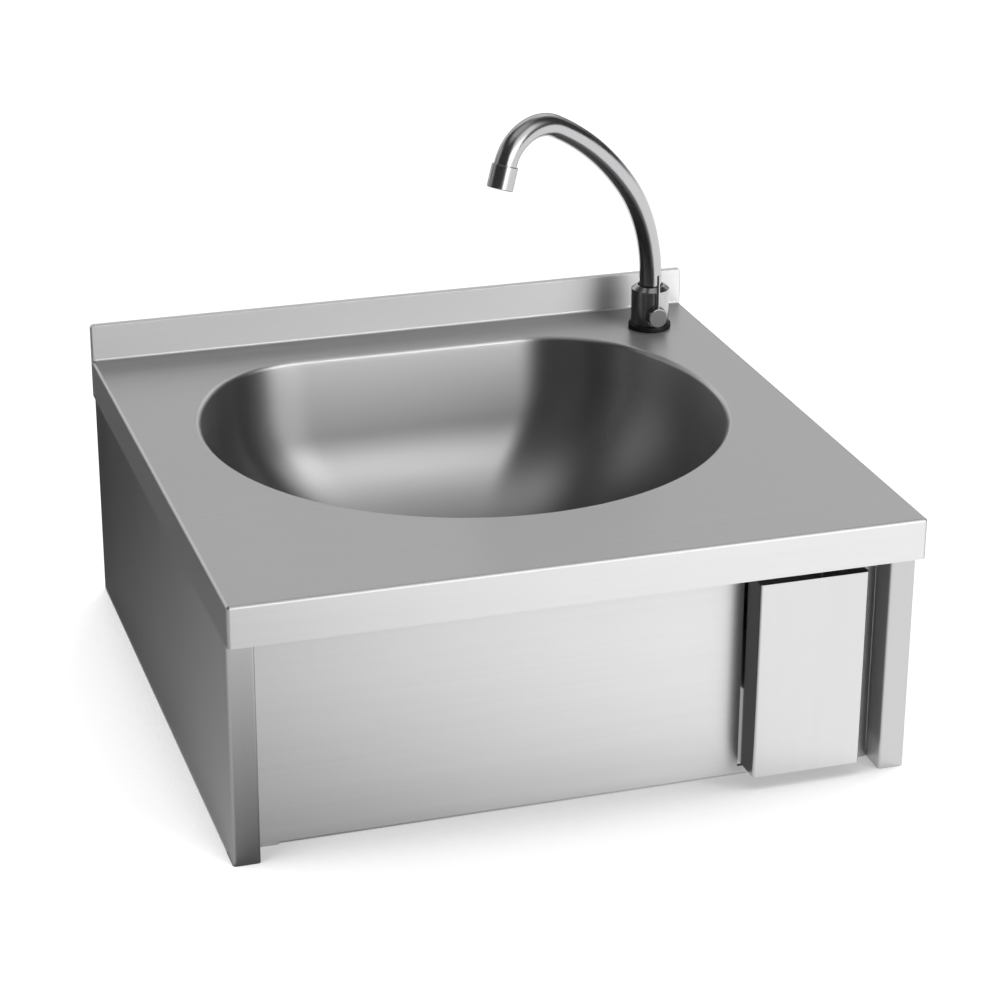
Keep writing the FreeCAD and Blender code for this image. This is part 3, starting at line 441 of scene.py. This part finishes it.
def wall_inset(drop, floor_inset):
    """Inset of a wall at a drop below the deck: rim bend, sloping wall and foot bend."""
    foot_r = foot_radius(floor_inset)
    rim_end = bowl_rim_r * (1 - math.sin(bowl_draft))
    foot_start = bowl_depth - foot_r * (1 - math.sin(bowl_draft))
    if drop <= rim_end:
        return math.sqrt(bowl_rim_r ** 2 - (bowl_rim_r - drop) ** 2)
    if drop <= foot_start:
        return bowl_rim_r * math.cos(bowl_draft) + (drop - rim_end) * math.tan(bowl_draft)
    return floor_inset - math.sqrt(max(0.0, foot_r ** 2 - (drop - bowl_depth + foot_r) ** 2))


def bowl_drops():
    """Levels of the sections: close together in the bends."""
    foot_r = foot_radius(bowl_floor_inset)
    sweep = math.pi / 2 - bowl_draft
    rim = [bowl_rim_r * (1 - math.cos(sweep * i / RIM_STEPS)) for i in range(RIM_STEPS + 1)]
    foot = []
    for i in range(FOOT_STEPS + 1):
        foot.append(bowl_depth - foot_r * (1 - math.sin(bowl_draft + sweep * i / FOOT_STEPS)))
    wall = [rim[-1] + (foot[0] - rim[-1]) * i / WALL_STEPS for i in range(1, WALL_STEPS)]
    return rim + wall + foot


def make_bowl():
    bm = bmesh.new()
    uv = bm.loops.layers.uv.new("round")
    rows = []
    for drop in bowl_drops():
        side = wall_inset(drop, bowl_floor_inset)
        back = wall_inset(drop, bowl_back_inset)
        rows.append([(x, y, deck_z - drop) for x, y in bowl_outline(side, back)])
    centre = Vector((0, bowl_y))
    foot = [Vector(p) - centre for p in bowl_outline(bowl_floor_inset, bowl_back_inset)]
    floor_level = deck_z - bowl_depth
    for share in FLOOR_RINGS:
        ring = [centre + p.lerp(p.normalized() * dish_r, share) for p in foot]
        rows.append([(p.x, p.y, floor_level) for p in ring])
    for radius, drop in ((dish_r, 0), (dish_foot_r, dish_depth), (waste_hole_r, dish_depth)):
        ring = [centre + p.normalized() * radius for p in foot]
        rows.append([(p.x, p.y, floor_level - drop) for p in ring])
    grid(bm, rows, True, uv)
    turn_up(bm, min(bm.faces, key=lambda face: face.calc_center_median().z))
    mesh = sheet_mesh(bm, "bowl_skin")
    new_piece("bowl_skin", mesh, bowl_finish, "basin", "bowl_steel", "bowl")


# Top sheet: deck with a turned-down apron on three sides and a hem along the front

def skirt_stations():
    """Stations round the left side, the front and the right side, as (bend centre, outward angle)."""
    stations = [((-flat_x, 0), math.pi)]
    for x, start in ((-flat_x, math.pi), (flat_x, 1.5 * math.pi)):
        for i in range(BEND_STEPS + 1):
            stations.append(((x, flat_front_y), start + math.pi / 2 * i / BEND_STEPS))
    stations.append(((flat_x, 0), 2 * math.pi))
    return stations


def make_top():
    bm = bmesh.new()
    bottom = deck_z - apron_height
    profile = arc((0, deck_z - bend_r), bend_r, math.pi / 2, 0, BEND_STEPS) + [(bend_r, bottom)]
    rows = []
    for out, z in profile:
        row = []
        for (x, y), angle in skirt_stations():
            row.append((x + out * math.cos(angle), y + out * math.sin(angle), z))
        rows.append(row)
    grid(bm, rows, False)

    back_y = -splash_depth - splash_foot_r
    foot = arc((back_y, deck_z + splash_foot_r), splash_foot_r, -math.pi / 2, 0, SPLASH_FOOT_STEPS)
    grid(bm, [[(x, y, z) for y, z in foot] for x in (-flat_x, flat_x)], False)

    outline = [bm.verts.new((x, y, deck_z)) for x, y in bowl_outline(0, 0)]
    edges = [bm.edges.new((outline[i - 1], outline[i])) for i in range(len(outline))]
    corners = ((-flat_x, back_y), (-flat_x, flat_front_y), (flat_x, flat_front_y), (flat_x, back_y))
    border = [bm.verts.new((x, y, deck_z)) for x, y in corners]
    edges += [bm.edges.new((border[i - 1], border[i])) for i in range(len(border))]
    bmesh.ops.triangle_fill(bm, edges=edges, use_beauty=True)
    bmesh.ops.remove_doubles(bm, verts=bm.verts, dist=WELD_GAP)
    turn_up(bm, max(bm.faces, key=lambda face: face.calc_area()))

    hem_front, hem_back = front_y + sheet, front_y + apron_hem
    hem = [(-flat_x, hem_front), (-flat_x, hem_back), (flat_x, hem_back), (flat_x, hem_front)]
    bm.faces.new([bm.verts.new((x, y, bottom)) for x, y in hem])
    mesh = sheet_mesh(bm, "top_sheet")
    keep_flats(new_piece("top_sheet", mesh, sheet_steel, "basin", "sheet_steel", "basin_top"))


# Splashback: boxed along the wall, with rounded upper corners and a softened front edge

def make_splash():
    low, high = deck_z - bend_r, deck_z + splash_height
    corner_x, corner_z = half_width - splash_corner_r, high - splash_corner_r
    outline = [(-half_width, low)]
    outline += arc((-corner_x, corner_z), splash_corner_r, math.pi, math.pi / 2, BEND_STEPS)
    outline += arc((corner_x, corner_z), splash_corner_r, math.pi / 2, 0, BEND_STEPS)
    outline.append((half_width, low))
    rows = []
    for out, y in arc((0, 0), splash_bend_r, 0, math.pi / 2, SPLASH_EDGE_STEPS):
        inset = splash_bend_r - y
        front = -splash_depth + splash_bend_r - out
        x_limit, z_limit = half_width - inset, high - inset
        rows.append([(max(-x_limit, min(x_limit, x)), front, min(z_limit, z)) for x, z in outline])
    rows.append([(x, 0, z) for x, z in outline])
    mesh = to_mesh(closed_grid(rows), "splashback")
    mesh.set_sharp_from_angle(angle=SHARP_ANGLE)
    # the splashback takes the lighter-painted copy of the sheet steel
    keep_flats(new_piece("splashback", mesh, splash_steel_painted_lighter, "basin", "sheet_steel", "basin_top"))


# Valve spring: a coil of one fixed length that fills the solid spring's box; it stands on the seat wall at
# its far end, and the real spring shortens as the plunger comes in

def make_spring():
    low, high = (Vector(corner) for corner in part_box("valve_spring"))
    middle = (low + high) / 2
    start_y, end_y = low.y + spring_wire_r, high.y - spring_wire_r
    steps = COIL_STEPS * spring_turns
    rows = []
    for i in range(steps + 1):
        turn = 2 * math.pi * spring_turns * i / steps
        y = start_y + (end_y - start_y) * i / steps
        row = []
        for reach, along in arc((spring_coil_r, y), spring_wire_r, 0, 2 * math.pi, WIRE_STEPS)[:-1]:
            row.append((middle.x + reach * math.cos(turn), along, middle.z + reach * math.sin(turn)))
        rows.append(row)
    mesh = to_mesh(closed_grid(rows), "spring_coil")
    spring = new_piece("spring_coil", mesh, plated_steel, "basin", "plated_steel", "valve_spring")
    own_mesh(spring)


# Stage: a pale floor, two veils on it and a soft surround

FLOOR_REACH = 12.0
FLOOR_PAINT = 0.6
FLOOR_SEEN = 0.96
FLOOR_REFLECTED = 0.82
FLOOR_SEEN_TWICE = 0.12
SHADOW_REACH = 0.3
SHADOW_START = 0.58
SHADOW_POWER = 2.3
SHADOW_DARKEST = 0.42
# a ray that ends on the surround has one more to its depth than one that ends on a surface
SECOND_DEPTH = 1.5
SURROUND_SECOND_DEPTH = SECOND_DEPTH + 1


def floor_material():
    """Matt paint with a glow: white to the camera, dimmer to reflections, clear from below."""
    m = Material("studio_floor")
    path = m.add("LightPath").outputs
    seen = m.maths("MAXIMUM", path["Is Camera Ray"], path["Is Glossy Ray"])
    seen = m.maths("MAXIMUM", seen, path["Is Transmission Ray"])
    # the glow fades where the basin leaves less of the sky open than SHADOW_START
    open_sky = m.add("AmbientOcclusion", {"Distance": SHADOW_REACH}, samples=8).outputs["AO"]
    shade = m.maths("DIVIDE", open_sky, SHADOW_START, clamp=True)
    shade = m.maths("POWER", shade, SHADOW_POWER)
    shade = m.maths("MAXIMUM", shade, SHADOW_DARKEST)
    lift = m.maths("MULTIPLY_ADD", path["Is Camera Ray"], FLOOR_SEEN - FLOOR_REFLECTED, FLOOR_REFLECTED)
    lift = m.maths("MULTIPLY", seen, lift)
    lift = m.maths("MULTIPLY", lift, shade)
    paint = m.add("BsdfDiffuse", {"Color": grey(FLOOR_PAINT)}).outputs["BSDF"]
    lit = m.add("AddShader", {0: paint, 1: m.glow(1.0, lift)}).outputs["Shader"]
    deep = m.maths("GREATER_THAN", path["Ray Depth"], SECOND_DEPTH)
    shown = m.mixed(deep, lit, m.glow(1.0, FLOOR_SEEN_TWICE))
    clear = m.add("BsdfTransparent").outputs["BSDF"]
    under = m.add("NewGeometry").outputs["Backfacing"]
    return m.finish(m.mixed(under, shown, clear))


def make_floor():
    bm = bmesh.new()
    bmesh.ops.create_grid(bm, x_segments=1, y_segments=1, size=FLOOR_REACH)
    mesh = to_mesh(bm, "studio_floor")
    mesh.materials.append(floor_material())
    floor = bpy.data.objects.new("studio_floor", mesh)
    floor.location = (0, 0, floor_z)
    bpy.context.scene.collection.objects.link(floor)


SCRIM_LIFT = 0.2 * MM


def make_scrim(name, corner, opposite, clear, dark, darkest):
    """A dark veil just above the floor that only reflections see; it thickens from clear to dark."""
    m = Material(name)
    clear, dark = Vector((*clear, 0)), Vector((*dark, 0))
    course = (dark - clear) / (dark - clear).length_squared
    place = m.add("NewGeometry").outputs["Position"]
    from_clear = m.vector_maths("SUBTRACT", place, clear)["Vector"]
    share = m.vector_maths("DOT_PRODUCT", from_clear, course)["Value"]
    veil = m.add("MapRange", {"Value": share, "To Max": darkest}, interpolation_type="SMOOTHSTEP")
    see_through = m.add("BsdfTransparent").outputs["BSDF"]
    material = m.finish(m.mixed(veil.outputs["Result"], see_through, m.glow(0.0, 0.0)))
    (x0, y0), (x1, y1), z = corner, opposite, floor_z + SCRIM_LIFT
    mesh = bpy.data.meshes.new(name)
    mesh.from_pydata([(x0, y0, z), (x1, y0, z), (x1, y1, z), (x0, y1, z)], [], [(0, 1, 2, 3)])
    mesh.materials.append(material)
    scrim = bpy.data.objects.new(name, mesh)
    bpy.context.scene.collection.objects.link(scrim)
    scrim.visible_camera = False
    scrim.visible_diffuse = False
    scrim.visible_shadow = False


SOFT_PATCHES = (
    # bearing from the front to the right, height, half width, half height, soft edge, in degrees; strength
    (26, 6, 22, 18, 18, 2.52),
    (38, 38, 32, 18, 22, 0.88),
    (160, 32, 36, 19, 26, 0.704),
    (200, 5, 12, 14, 14, 0.4),
    (225, 20, 32, 15, 18, 0.36),
    (0, 90, 180, 24, 24, 0.4),
)
SURROUND_BASE = 0.04
SURROUND_SEEN_TWICE = 0.2
SURROUND_SEEN = 1.0


def make_surround():
    """A dim surround with soft bright patches, which is white to the camera."""
    world = bpy.data.worlds.new("studio_surround")
    bpy.context.scene.world = world
    world.use_nodes = True
    n = Nodes(world.node_tree)

    def inside(away, half, soft):
        """1 within the half width and 0 beyond it, with a soft edge; both widths are in degrees."""
        return n.add("MapRange", {
            "Value": n.maths("ABSOLUTE", away),
            "From Min": math.radians(half + soft / 2),
            "From Max": math.radians(half - soft / 2),
        }, interpolation_type="SMOOTHSTEP").outputs["Result"]

    way = n.add("SeparateXYZ", {"Vector": n.add("TexCoord").outputs["Generated"]})
    x, y, z = way.outputs
    bearing = n.maths("ARCTAN2", x, n.maths("MULTIPLY", y, -1.0))
    height = n.maths("ARCSINE", z)
    total = SURROUND_BASE
    for turn, rise, half_turn, half_rise, soft, strength in SOFT_PATCHES:
        aside = n.maths("ADD", bearing, math.pi - math.radians(turn))
        aside = n.maths("SUBTRACT", n.maths("FLOORED_MODULO", aside, 2 * math.pi), math.pi)
        above = n.maths("SUBTRACT", height, math.radians(rise))
        patch = n.maths("MULTIPLY", inside(aside, half_turn, soft), inside(above, half_rise, soft))
        total = n.maths("MULTIPLY_ADD", patch, strength, total)
    path = n.add("LightPath").outputs
    # a reflection of a reflection sees only a share of the surround
    deep = n.maths("GREATER_THAN", path["Ray Depth"], SURROUND_SECOND_DEPTH)
    total = n.maths("MULTIPLY", total, n.maths("MULTIPLY_ADD", deep, SURROUND_SEEN_TWICE - 1, 1.0))
    strength = n.add("Mix", {"Factor": path["Is Camera Ray"], "A": total, "B": SURROUND_SEEN})
    background = n.add("Background", {"Color": grey(1.0), "Strength": strength.outputs["Result"]})
    n.add("OutputWorld", {"Surface": background.outputs["Background"]})


# Camera, fitted to the corners in the photograph

CAMERA_PLACE = (-0.5976, -2.1582, 0.8850)
CAMERA_YAW = math.radians(17.743)
CAMERA_PITCH = math.radians(22.823)
CAMERA_ROLL = math.radians(0.277)
CAMERA_LENS = 103.72
SENSOR_WIDTH = 36.0


def make_camera():
    data = bpy.data.cameras.new("camera")
    data.sensor_width = SENSOR_WIDTH
    data.lens = CAMERA_LENS
    camera = bpy.data.objects.new("camera", data)
    turn = Matrix.Rotation(-CAMERA_YAW, 4, "Z")
    turn @= Matrix.Rotation(math.pi / 2 - CAMERA_PITCH, 4, "X")
    turn @= Matrix.Rotation(CAMERA_ROLL, 4, "Z")
    camera.matrix_world = Matrix.Translation(CAMERA_PLACE) @ turn
    bpy.context.scene.collection.objects.link(camera)
    bpy.context.scene.camera = camera


make_bowl()
make_top()
make_splash()
make_spring()
make_floor()
make_surround()
make_camera()
make_scrim("scrim_front", corner=(-0.25, -3.0), opposite=(0.6, -0.456),
           clear=(0.12, -0.8), dark=(-0.36, -0.6), darkest=0.92)
make_scrim("scrim_left", corner=(-1.5, -3.0), opposite=(-0.25, 3.0),
           clear=(0.0, -1.5), dark=(0.0, 0.3), darkest=0.97)
bpy.context.scene.view_settings.view_transform = "Standard"
